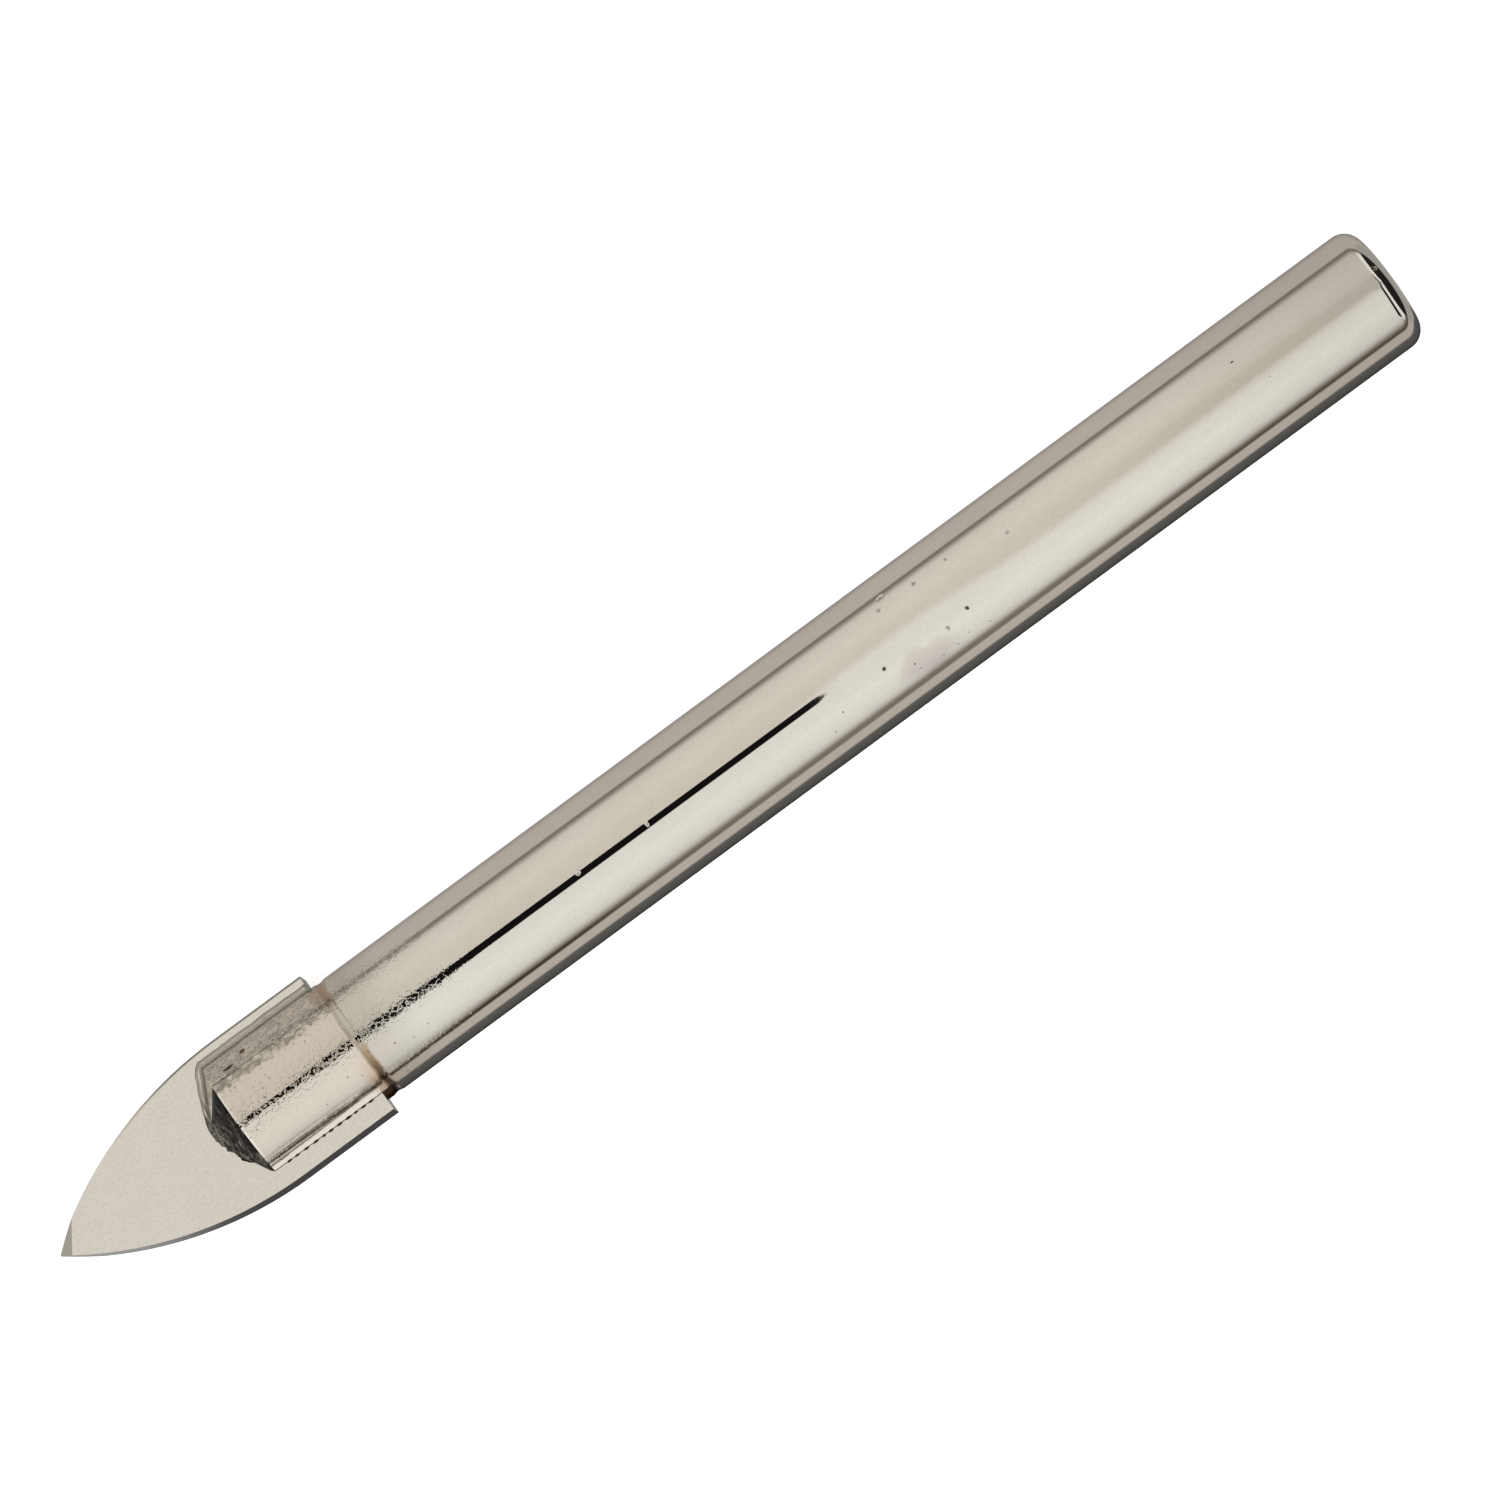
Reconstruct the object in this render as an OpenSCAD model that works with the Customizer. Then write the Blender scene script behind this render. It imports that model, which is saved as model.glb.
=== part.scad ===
// Glass and tile drill bit: a spear-shaped cutting plate brazed into the slotted end of a round shank.
// Frame: X runs from the point to the back end. Z is up as the bit lies on its shank and on one wing
// of the plate. The origin is at mid length, where the shank lies. Sizes are in millimetres and degrees.

/* [Plate] */
// Cutting diameter, measured across the two lips
plate_w = 8.3; // [7.2:0.1:9]
// Thickness of the plate
plate_t = 1.8; // [1.4:0.1:2.4]
// Length of the plate from its point to its square back edge
plate_len = 17.4; // [16:0.1:20]
// Distance from the point to where the curved lips become parallel
lip_len = 12.2; // [10:0.1:14]
// Clearance angle behind each cutting edge
lip_relief = 5; // [2:0.5:8]
// Distance from the point at which a point facet leaves its own lip
facet_far = 1.6; // [1.2:0.1:2.2]
// Distance from the point at which a point facet leaves the other lip
facet_near = 0.6; // [0.3:0.1:0.9]
// Slope of the point facets against the face of the plate
facet_slope = 45; // [30:1:50]

/* [Shank] */
// Length of the whole bit
overall_len = 80; // [60:1:120]
// Diameter of the shank and of its two jaws
shank_d = 6.6; // [6:0.1:7]
// Length of plate that the jaws hold at full diameter
jaw_len = 6.4; // [5:0.1:8]
// Included angle of the cone that ends the jaws
nose_angle = 120; // [90:1:140]
// Rounding of the back edge
back_r = 1; // [0.4:0.1:2]

/* [Joint] */
// Thickness of the braze film on each face of the plate
film_t = 0.08; // [0.05:0.01:0.2]
// How far the slot runs on behind the plate
slot_over = 0.6; // [0.3:0.1:1.5]
// How far the braze stays back from the surface of the jaws
film_inset = 0.12; // [0.05:0.01:0.3]
// Depth of the open pocket that the braze leaves at each end of the slot
pocket_depth = 0.7; // [0.3:0.1:1.5]
// Width of the shallow ring at the bottom of the slot
ring_w = 0.55; // [0.3:0.05:0.8]
// Depth of the shallow ring
ring_depth = 0.06; // [0.03:0.01:0.12]

/* [Hidden] */
$fn = 96;
// How far a cutting shape runs past what it cuts
over = 1;
shank_r = shank_d / 2;
half_t = plate_t / 2;
half_w = plate_w / 2;
// Lip arc: it passes through the point and is parallel to the axis at lip_len
lip_r = (lip_len * lip_len + half_w * half_w) / plate_w;
lip_off = lip_r - half_w;
lip_back = plate_t * tan(lip_relief);
lip_mid = lip_r - lip_back / 2;
lip_x = sqrt(lip_mid * lip_mid - lip_off * lip_off);
// Jaws and slot, as distances from the point
slot_end = plate_len + slot_over;
slot_w = plate_t + 2 * film_t;
jaw_x = plate_len - jaw_len;
nose_half = nose_angle / 2;
nose_x = jaw_x - shank_r / tan(nose_half);
film_x = nose_x + film_inset / sin(nose_half);
film_y = sqrt(shank_r * shank_r - slot_w * slot_w / 4) - film_inset;
// Section of the ring: an arc of this radius gives its width and depth
ring_r = (ring_w * ring_w / 4 + ring_depth * ring_depth) / (2 * ring_depth);
// Ends of the fold line of a point facet, on the face of the plate
fold_a = [facet_far, lip_y(lip_r - lip_back, facet_far)];
fold_b = [facet_near, -lip_y(lip_r, facet_near)];
fold_dir = atan2(fold_b[1] - fold_a[1], fold_b[0] - fold_a[0]);
// Roll at which a corner of the plate comes down to the surface that the shank lies on
corner_r = sqrt(half_w * half_w + half_t * half_t);
rest_roll = asin(shank_r / corner_r) - atan2(half_t, half_w);

// Half width of a lip of radius r at distance x from the point
function lip_y(r, x) = sqrt(r * r - (lip_x - x) * (lip_x - x)) - lip_off;

// Moves a shape drawn flat, from the point along the axis, to where the bit lies
module place() {
    translate([-overall_len / 2, 0, shank_r]) rotate([-rest_roll, 0, 0]) children();
}

// Outline of the turned shank: radius against distance from the point
module turned_outline() {
    difference() {
        union() {
            polygon([
                [0, nose_x],
                [shank_r, jaw_x],
                [shank_r, overall_len - back_r],
                [0, overall_len - back_r]
            ]);
            translate([0, overall_len - 2 * back_r]) square([shank_r - back_r, 2 * back_r]);
            translate([shank_r - back_r, overall_len - back_r]) circle(back_r);
        }
        translate([shank_r - ring_depth + ring_r, slot_end]) circle(ring_r);
    }
}

// Space that the saw leaves for the plate and its braze
module slot() {
    translate([nose_x - over, -shank_d, -slot_w / 2])
        cube([slot_end - nose_x + over, 2 * shank_d, slot_w]);
}

// One curved lip with its clearance, wide on the upper face
module lip() {
    translate([lip_x, lip_off, -half_t])
        cylinder(h = plate_t, r1 = lip_r - lip_back, r2 = lip_r);
}

// Space above one point facet
module facet_cut() {
    side = 4 * facet_far;
    translate([fold_a[0], fold_a[1], half_t])
        rotate([0, 0, fold_dir])
        rotate([facet_slope, 0, 0])
        translate([-side, -side, 0])
        cube([2 * side, 2 * side, side]);
}

// Curved front of the plate, between the two lips
module plate_front() {
    intersection() {
        lip();
        rotate([180, 0, 0]) lip();
        translate([-over, -plate_w, -half_t]) cube([lip_x + over, 2 * plate_w, plate_t]);
    }
}

// Parallel wings of the plate, leaning by the clearance of the lips
module plate_wings() {
    translate([lip_x, 0, 0])
        rotate([90, 0, 90])
        linear_extrude(plate_len - lip_x)
        polygon([
            [-half_w, half_t],
            [-half_w + lip_back, -half_t],
            [half_w, -half_t],
            [half_w - lip_back, half_t]
        ]);
}

// Whole ground plate, with its point at the origin
module plate() {
    difference() {
        union() {
            plate_front();
            plate_wings();
        }
        facet_cut();
        rotate([180, 0, 0]) facet_cut();
    }
}

// Room that the braze fills: the slot as far as the inset from the cone and the sides of the jaws
module braze_room() {
    length = slot_end - film_x;
    intersection() {
        translate([film_x, 0, 0])
            rotate([0, 90, 0])
            cylinder(h = length, r1 = 0, r2 = length * tan(nose_half));
        translate([film_x, -film_y, -slot_w / 2]) cube([length, 2 * film_y, slot_w]);
    }
}

// Open pockets at the two ends of the slot, behind the plate
module pockets() {
    for (side = [0, 180])
        rotate([side, 0, 0])
        translate([plate_len, shank_r - pocket_depth, -slot_w])
        cube([slot_over, shank_d, 2 * slot_w]);
}

module shank() {
    color([0.78, 0.75, 0.70]) place() difference() {
        rotate([0, 90, 0]) rotate_extrude() turned_outline();
        slot();
    }
}

module carbide_tip() {
    color([0.72, 0.70, 0.66]) place() plate();
}

module braze() {
    color([0.62, 0.48, 0.30]) place() difference() {
        braze_room();
        plate();
        pockets();
    }
}

shank();
carbide_tip();
braze();
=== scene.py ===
"""Looks of the glass and tile drill bit: fine meshes, metal finishes, studio light and camera."""
import math

import bmesh
import bpy
from mathutils import Matrix, Vector, noise


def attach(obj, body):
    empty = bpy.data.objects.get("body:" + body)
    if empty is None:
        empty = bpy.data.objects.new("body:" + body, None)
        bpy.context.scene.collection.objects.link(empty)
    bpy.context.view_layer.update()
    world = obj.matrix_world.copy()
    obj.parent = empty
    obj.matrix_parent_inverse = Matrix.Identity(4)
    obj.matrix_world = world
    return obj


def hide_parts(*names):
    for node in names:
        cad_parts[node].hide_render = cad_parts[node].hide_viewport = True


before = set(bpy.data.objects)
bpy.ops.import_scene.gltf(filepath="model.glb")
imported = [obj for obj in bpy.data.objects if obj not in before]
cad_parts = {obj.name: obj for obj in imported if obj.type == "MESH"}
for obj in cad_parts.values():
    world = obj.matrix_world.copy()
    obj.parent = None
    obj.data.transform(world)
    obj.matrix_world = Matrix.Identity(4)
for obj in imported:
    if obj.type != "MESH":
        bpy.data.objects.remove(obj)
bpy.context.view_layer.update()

# Sizes of the bit in millimetres and degrees, measured from the point along the axis
MM = 0.001
OVERALL_LEN = 80.0
SHANK_R = 3.3
PLATE_W = 8.3
PLATE_T = 1.8
PLATE_LEN = 17.4
LIP_LEN = 12.2
LIP_RELIEF = 5.0
FACET_FAR = 1.6
FACET_NEAR = 0.6
FACET_SLOPE = 45.0
JAW_LEN = 6.4
NOSE_ANGLE = 120.0
BACK_R = 1.0
FILM_T = 0.08
SLOT_OVER = 0.6
RING_W = 0.55
RING_DEPTH = 0.06

HALF_T = PLATE_T / 2
HALF_W = PLATE_W / 2
LIP_R = (LIP_LEN ** 2 + HALF_W ** 2) / PLATE_W
LIP_OFF = LIP_R - HALF_W
LIP_BACK = PLATE_T * math.tan(math.radians(LIP_RELIEF))
LIP_X = math.sqrt((LIP_R - LIP_BACK / 2) ** 2 - LIP_OFF ** 2)
SLOT_END = PLATE_LEN + SLOT_OVER
SLOT_HALF = HALF_T + FILM_T
JAW_X = PLATE_LEN - JAW_LEN
NOSE_TAN = math.tan(math.radians(NOSE_ANGLE / 2))
NOSE_X = JAW_X - SHANK_R / NOSE_TAN
RING_R = (RING_W ** 2 / 4 + RING_DEPTH ** 2) / (2 * RING_DEPTH)
JAW_EDGE_Y = math.sqrt(SHANK_R ** 2 - SLOT_HALF ** 2)
CORNER_R = math.hypot(HALF_W, HALF_T)
REST_ROLL = math.asin(SHANK_R / CORNER_R) - math.atan2(HALF_T, HALF_W)

# Moves what is drawn flat, from the point along the axis, to where the bit lies
LIFTED = Matrix.Translation((-OVERALL_LEN / 2 * MM, 0, SHANK_R * MM))
PLACE = LIFTED @ Matrix.Rotation(-REST_ROLL, 4, "X")
# Half turn about the axis, which takes one face of the plate to the other
TURN = Matrix.Rotation(math.pi, 4, "X")

# View of the photograph: tilt against the plate's face, turn in the picture, distance and scale
VIEW_TILT = math.radians(15.0)
VIEW_TURN = math.radians(36.33)
VIEW_DISTANCE = 370.0
IMAGE_SIZE = 1500
PIXELS_PER_MM = 20.6
MID_PIXEL = (724.5, 768.4)
SENSOR = 36.0
# Towards the lens and towards the upper left of the picture, for the flat bit and for the bit as it lies
FLAT_VIEW = Vector((0, -math.sin(VIEW_TILT), math.cos(VIEW_TILT)))
FLAT_LEFT = Vector((0, math.cos(VIEW_TILT), math.sin(VIEW_TILT)))
VIEW_DIR = PLACE.to_3x3() @ FLAT_VIEW
LEFT_DIR = PLACE.to_3x3() @ FLAT_LEFT

# Fineness of the meshes, with the stations of a lip crowded towards the point, and rounding of the edges
LATHE_STEPS = 256
RING_STEPS = 8
BACK_STEPS = 24
LIP_STEPS = 120
LIP_CROWDING = 1.5
EDGE_ROUND = 0.03
LIP_ROUND = 0.045
SHARP_ANGLE = math.radians(35)

# Marks in the plating: pixel of the photograph, half length and half width in millimetres
PITS = [
    ((967, 608), 0.11, 0.11), ((884, 669), 0.11, 0.11), ((969, 632), 0.04, 0.03), ((958, 644), 0.04, 0.03),
    ((944, 655), 0.05, 0.03), ((843, 712), 0.05, 0.04), ((836, 732), 0.05, 0.04), ((990, 621), 0.04, 0.03),
    ((1232, 362), 0.10, 0.05), ((228, 1068), 0.32, 0.10), ((915, 664), 0.06, 0.04), ((921, 668), 0.05, 0.03),
]
NICKS = [
    ((945, 559), 0.08, 0.10), ((913, 583), 0.11, 0.15), ((880, 598), 0.20, 0.14), ((878, 610), 0.10, 0.12),
    ((948, 628), 0.10, 0.15), ((1007, 532), 0.14, 0.08), ((578, 873), 0.12, 0.10), ((647, 824), 0.08, 0.12),
]
# Depth of a nick, as a share of the depth of the plating's bump
NICK_DEPTH = 2.5
# Dents in the rounded back edge, with the radius at which each one lies and its depth as such a share
BACK_DENTS = [((1374, 269), 0.15, 0.18, 3.07, 3.0), ((1376, 284), 0.26, 0.26, 3.24, 0.8)]
RUST_DOT = ((242, 1051), 0.17, 0.17)
CLOUDY = ((930, 656), 1.6, 0.75)


class Graph:
    """Adds nodes to one node tree and links them, so that a material reads as a list of steps."""

    def __init__(self, tree):
        self.tree = tree
        tree.nodes.clear()

    def put(self, value, socket):
        if isinstance(value, bpy.types.NodeSocket):
            self.tree.links.new(value, socket)
        else:
            socket.default_value = value

    def add(self, kind, inputs=(), **settings):
        """A new node, with its inputs listed in order or given by name or number."""
        made = self.tree.nodes.new(kind)
        for name, value in settings.items():
            setattr(made, name, value)
        for key, value in inputs.items() if isinstance(inputs, dict) else enumerate(inputs):
            self.put(value, made.inputs[key])
        return made

    def math(self, operation, *inputs):
        return self.add("ShaderNodeMath", inputs, operation=operation).outputs[0]

    def times(self, *values):
        total = values[0]
        for value in values[1:]:
            total = self.math("MULTIPLY", total, value)
        return total

    def vector(self, operation, *inputs):
        made = self.add("ShaderNodeVectorMath", inputs, operation=operation)
        return made.outputs["Value" if operation in ("DOT_PRODUCT", "LENGTH") else "Vector"]

    def scaled(self, vector, factor):
        return self.vector("MULTIPLY", vector, (factor, factor, factor))

    def split(self, vector):
        return self.add("ShaderNodeSeparateXYZ", [vector]).outputs

    def step(self, value, low, high):
        """0 below low, 1 above high, smooth between; low may be the larger one."""
        limits = {"Value": value, "From Min": low, "From Max": high}
        return self.add("ShaderNodeMapRange", limits, interpolation_type="SMOOTHSTEP").outputs[0]

    def band(self, value, centre, half, soft):
        """1 within half of centre, falling to 0 over soft."""
        away = self.math("ABSOLUTE", self.math("SUBTRACT", value, centre))
        return self.step(away, half + soft, half)

    def noise(self, vector, scale, detail=3.0, rough=0.55):
        inputs = {"Vector": vector, "Scale": scale, "Detail": detail, "Roughness": rough}
        return self.add("ShaderNodeTexNoise", inputs).outputs[0]

    def wander(self, value, vector, scale, reach):
        """A value that strays by up to about half of reach either way."""
        stray = self.math("SUBTRACT", self.noise(vector, scale), 0.5)
        return self.math("MULTIPLY_ADD", stray, reach, value)

    def strayed(self, where, scale, reach):
        """A place that strays by up to about half of reach in each direction."""
        shade = self.add("ShaderNodeTexNoise", {"Vector": where, "Scale": scale}).outputs[1]
        shift = self.vector("SUBTRACT", shade, (0.5, 0.5, 0.5))
        return self.vector("ADD", where, self.scaled(shift, reach))

    def mix(self, share, first, second):
        # A mix node has its colours on the sockets 6 and 7, and its mixed colour on socket 2
        return self.add("ShaderNodeMix", {0: share, 6: first, 7: second}, data_type="RGBA").outputs[2]

    def ramp(self, value, stops):
        made = self.add("ShaderNodeValToRGB", [value])
        line = made.color_ramp.elements
        while len(line) < len(stops):
            line.new(0.5)
        for element, (place, shade) in zip(line, stops):
            element.position = place
            element.color = shade
        return made.outputs[0]

    def millimetres(self):
        """Place on the bit in millimetres, flat and measured from the point."""
        where = self.add("ShaderNodeTexCoord").outputs["Object"]
        inputs = {"Vector": where, "Center": (0, 0, SHANK_R * MM), "Angle": REST_ROLL}
        turned = self.add("ShaderNodeVectorRotate", inputs, rotation_type="X_AXIS")
        start = (OVERALL_LEN / 2 * MM, 0, -SHANK_R * MM)
        return self.scaled(self.vector("ADD", turned.outputs[0], start), 1 / MM)

    def pits(self, where, scale, radius, share):
        """Scattered round pits: 1 in a pit, 0 outside. share is the part of the cells that has one."""
        cell = self.add("ShaderNodeTexVoronoi", {"Vector": where, "Scale": scale})
        chosen = self.math("LESS_THAN", self.split(cell.outputs["Color"])[0], share)
        return self.times(chosen, self.step(cell.outputs["Distance"], radius, radius * 0.4))

    def spot(self, where, pixel, half_len, half_width, radius=SHANK_R, peak=0.6):
        """A smooth peak of 1 on a mark at a pixel of the photograph, 0 a little beyond its half sizes."""
        away = self.vector("SUBTRACT", where, tuple(on_shank(pixel, radius)))
        scaled = self.vector("MULTIPLY", away, (1 / half_len, 1 / half_width, 1 / half_width))
        return self.step(self.vector("LENGTH", scaled), 1.3, peak)


def colour(red, green, blue):
    return (red, green, blue, 1.0)


def grey(value):
    return colour(value, value, value)


def on_shank(pixel, radius):
    """Place at this radius, flat and in millimetres, that a pixel of the photograph shows."""
    half = IMAGE_SIZE / 2
    wide = (pixel[0] - half) / PIXELS_PER_MM
    high = (half - pixel[1]) / PIXELS_PER_MM
    mid_wide = (MID_PIXEL[0] - half) / PIXELS_PER_MM
    mid_high = (half - MID_PIXEL[1]) / PIXELS_PER_MM
    rise = 0.0
    for _ in range(3):
        nearer = 1 - rise / VIEW_DISTANCE
        right = wide * nearer - mid_wide
        upward = high * nearer - mid_high
        left = upward * math.cos(VIEW_TURN) - right * math.sin(VIEW_TURN)
        rise = math.sqrt(max(radius ** 2 - left ** 2, 0))
    along = OVERALL_LEN / 2 + right * math.cos(VIEW_TURN) + upward * math.sin(VIEW_TURN)
    return Vector((along, 0, 0)) + FLAT_LEFT * left + FLAT_VIEW * rise


def new_material(name):
    made = bpy.data.materials.new(name)
    made.use_nodes = True
    return made, Graph(made.node_tree)


def finish_metal(g, base, rough, height, depth, glance=1.0):
    """Ends a metal material: depth is the bump in millimetres, glance the gloss at a flat angle."""
    bump = g.add("ShaderNodeBump", {"Distance": depth * MM, "Height": height})
    shader = g.add("ShaderNodeBsdfPrincipled", {
        "Base Color": base,
        "Metallic": 1.0,
        "Roughness": rough,
        "Specular Tint": grey(glance),
        "Normal": bump.outputs[0],
    })
    g.add("ShaderNodeOutputMaterial", [shader.outputs[0]])


# Tones of the plating
NICKEL_COOL = colour(0.705, 0.683, 0.604)
NICKEL_WARM = colour(0.765, 0.716, 0.646)
NICKEL_GRAIN = colour(0.60, 0.565, 0.50)
NICKEL_DULL = colour(0.46, 0.42, 0.34)
NICKEL_JAW = colour(0.695, 0.628, 0.54)
# Painted highlight on the jaws
NICKEL_PAINTED_HIGHLIGHT = colour(0.99, 0.97, 0.92)
NICKEL_CLOUDY = colour(0.49, 0.445, 0.41)
# Tones of the jaw's stain, which also paint a reflection of the table, and the dark of its veins and of a
# painted rim line
STAIN_REFLECTION_DARK = colour(0.48, 0.455, 0.38)
STAIN_REFLECTION_PALE = colour(0.76, 0.72, 0.62)
STAIN_VEIN_AND_PAINTED_RIM = colour(0.20, 0.185, 0.145)
SPECK_BROWN = colour(0.36, 0.25, 0.16)
PIT_BLACK = colour(0.06, 0.05, 0.035)
RUST_BROWN = colour(0.12, 0.05, 0.02)
# Tones of the heat tint, and its colours round the ring from the upper left to the lower right
TINT_HALO = colour(0.62, 0.42, 0.24)
TINT_BORDER = colour(0.28, 0.22, 0.14)
TINT_BURNT = colour(0.44, 0.32, 0.20)
TINT_STOPS = [
    (0.02, colour(0.50, 0.34, 0.23)),
    (0.15, colour(0.38, 0.30, 0.23)),
    (0.25, colour(0.56, 0.53, 0.45)),
    (0.48, colour(0.58, 0.54, 0.44)),
    (0.60, colour(0.40, 0.29, 0.17)),
    (0.74, colour(0.17, 0.10, 0.045)),
    (0.86, colour(0.04, 0.022, 0.012)),
]
# Stretches along the bit, in millimetres from the point, over which a change in the plating comes in
WORN = (25.5, 19.5)
DULL = (21.5, 18.6)
SPECKED = (15.5, 13.5)
WAVY = (38.0, 22.0)
COARSE = (13.4, 11.4)
# Depth of the bump in millimetres
PLATING_BUMP = 0.02


class Plating:
    """Places on the shank and patterns of its plating that several steps of the material share."""

    def __init__(self, g):
        self.where = g.millimetres()
        self.along = g.split(self.where)[0]
        # From -1 at the upper left edge of the shank in the picture to 1 at its lower right edge
        self.side = g.vector("DOT_PRODUCT", self.where, tuple(-FLAT_LEFT / SHANK_R))
        self.grain = g.noise(self.where, 7.0, 4.0, 0.65)
        self.blotch = g.noise(self.where, 2.2, 5.0, 0.7)
        self.ragged = g.strayed(self.where, 8.0, 0.12)
        self.jaw = g.step(self.along, SLOT_END + 0.1, SLOT_END - 0.3)
        self.worn = g.step(g.wander(self.along, self.where, 0.5, 3.0), *WORN)


def bare_plating(g, at):
    """Clouded tone, duller behind the ring, with a painted highlight as a bright strip beside the seam and
    along the nose.
    """
    base = g.mix(g.noise(at.where, 0.35), NICKEL_COOL, NICKEL_WARM)
    base = g.mix(g.times(g.step(at.grain, 0.48, 0.66), 0.32), base, NICKEL_GRAIN)
    dull = g.times(g.step(at.along, *DULL), g.step(at.along, SLOT_END, SLOT_END + 0.3))
    base = g.mix(g.times(dull, 0.4), base, NICKEL_DULL)
    base = g.mix(g.times(at.jaw, 0.8), base, NICKEL_JAW)
    # Painted highlight: a near white strip on the jaw beside the seam and along the jaw's edge at the nose
    painted_nose_highlight = g.times(g.step(at.along, JAW_X + 0.14, JAW_X + 0.05), 0.6)
    bright = g.math("MAXIMUM", g.step(at.side, 0.745, 0.785), painted_nose_highlight)
    base = g.mix(g.times(at.jaw, bright, 0.95), base, NICKEL_PAINTED_HIGHLIGHT)
    patch = g.spot(g.strayed(at.where, 0.8, 1.2), *CLOUDY)
    return g.mix(g.times(patch, 0.5), base, NICKEL_CLOUDY)


def plating_marks(g, at):
    """Depth and darkness of the pits, the nicks and the dents in the back edge."""
    scattered = g.times(g.pits(at.where, 3.2, 0.2, 0.12), at.worn)
    hollow = g.math("MAXIMUM", g.pits(at.where, 1.3, 0.06, 0.05), scattered)
    dark = g.times(hollow, 0.5)
    for pit in PITS:
        dark = g.math("MAXIMUM", dark, g.spot(at.ragged, *pit))
    for nick in NICKS:
        sunk = g.spot(at.ragged, *nick, peak=0.0)
        hollow = g.math("MAXIMUM", hollow, g.times(sunk, NICK_DEPTH))
        dark = g.math("MAXIMUM", dark, g.times(g.step(sunk, 0.3, 0.9), 0.4))
    for *dent, depth in BACK_DENTS:
        hollow = g.math("MAXIMUM", hollow, g.times(g.spot(at.ragged, *dent, peak=0.0), depth))
    return hollow, dark


def jaw_stain_and_painted_reflection(g, at, base):
    """Dull stain, partly a painted reflection of the table, on the upper side of the jaw, with a mottled
    lower edge that is a painted reflection of the dark rim line. Also gives where it lies.
    """
    edge = g.wander(g.wander(at.side, at.where, 0.9, 0.3), at.where, 3.5, 0.25)
    # Stain tones that are partly a painted reflection of the table
    stain_and_reflection = g.times(at.jaw, g.step(edge, -0.55, -0.72))
    stain_reflection_tone = g.mix(g.step(at.blotch, 0.35, 0.65), STAIN_REFLECTION_DARK, STAIN_REFLECTION_PALE)
    base = g.mix(g.times(stain_and_reflection, 0.75), base, stain_reflection_tone)
    vein = g.band(g.noise(at.where, 1.5, 3.0, 0.6), 0.5, 0.004, 0.025)
    vein = g.times(stain_and_reflection, vein, g.step(at.grain, 0.36, 0.52))
    # Painted reflection of the dark rim line, mottled along the stain's lower edge
    painted_rim_line = g.times(at.jaw, g.band(edge, -0.61, 0.03, 0.07), g.step(at.blotch, 0.66, 0.46))
    base = g.mix(g.times(g.math("MAXIMUM", painted_rim_line, vein), 0.7), base, STAIN_VEIN_AND_PAINTED_RIM)
    # Brown specks beside the dark line that the lens makes
    rusty = g.times(g.band(at.side, -0.36, 0.12, 0.12), g.step(at.along, *SPECKED))
    rusty = g.times(rusty, g.step(at.blotch, 0.46, 0.56))
    specks = g.times(at.jaw, rusty, g.pits(at.ragged, 4.0, 0.4, 0.6))
    return g.mix(g.times(specks, 0.6), base, SPECK_BROWN), stain_and_reflection


def heat_tint(g, at, base):
    """Tint at the ring: pink brown above, pale in the middle, dark brown below."""
    ring = g.wander(g.wander(at.along, at.where, 1.1, 0.2), at.where, 4.0, 0.12)
    tint = g.ramp(g.math("MULTIPLY_ADD", at.side, 0.5, 0.5), TINT_STOPS)
    halo = g.times(g.band(ring, SLOT_END - 0.25, 0.1, 0.7), g.step(at.side, 0.1, 0.75))
    base = g.mix(g.times(halo, 0.7), base, TINT_HALO)
    base = g.mix(g.times(g.band(ring, SLOT_END, 0.09, 0.16), 0.9), base, tint)
    for border in (-0.2, 0.2):
        line = g.band(ring, SLOT_END + border, 0.02, 0.06)
        base = g.mix(g.times(line, 0.4), base, TINT_BORDER)
    high = g.step(g.wander(at.side, at.where, 1.5, 0.3), -0.68, -0.86)
    burnt = g.times(g.band(ring, SLOT_END - 0.35, 0.2, 0.5), high, g.step(at.blotch, 0.30, 0.60))
    return g.mix(g.times(burnt, 0.85), base, TINT_BURNT)


def plating_height(g, at, hollow):
    """Bump of the plating: strong on the jaws, fading out along the shank, less the marks."""
    faint = g.math("MULTIPLY_ADD", g.step(at.along, *WAVY), 0.04, 0.0015)
    pitted = g.times(at.worn, g.math("MULTIPLY_ADD", g.step(at.side, 0.5, 0.25), 0.85, 0.15))
    fine = g.times(g.noise(at.where, 5.0, 2.0), g.math("MULTIPLY_ADD", pitted, 0.08, faint))
    pitted = g.times(pitted, g.math("MULTIPLY_ADD", g.step(at.along, *COARSE), 0.6, 1.0))
    islands = g.times(g.step(g.noise(at.where, 4.2, 2.0), 0.44, 0.58), pitted)
    height = g.math("MULTIPLY_ADD", islands, 0.30, fine)
    wavy = g.times(g.noise(at.where, 1.4, 2.0), at.jaw, g.step(at.side, -0.35, -0.55))
    height = g.math("MULTIPLY_ADD", wavy, 1.8, height)
    bent = g.times(g.noise(at.where, 0.8, 1.0), at.jaw, g.step(at.side, 0.40, 0.55))
    height = g.math("MULTIPLY_ADD", bent, 0.9, height)
    return g.math("SUBTRACT", height, hollow)


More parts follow.
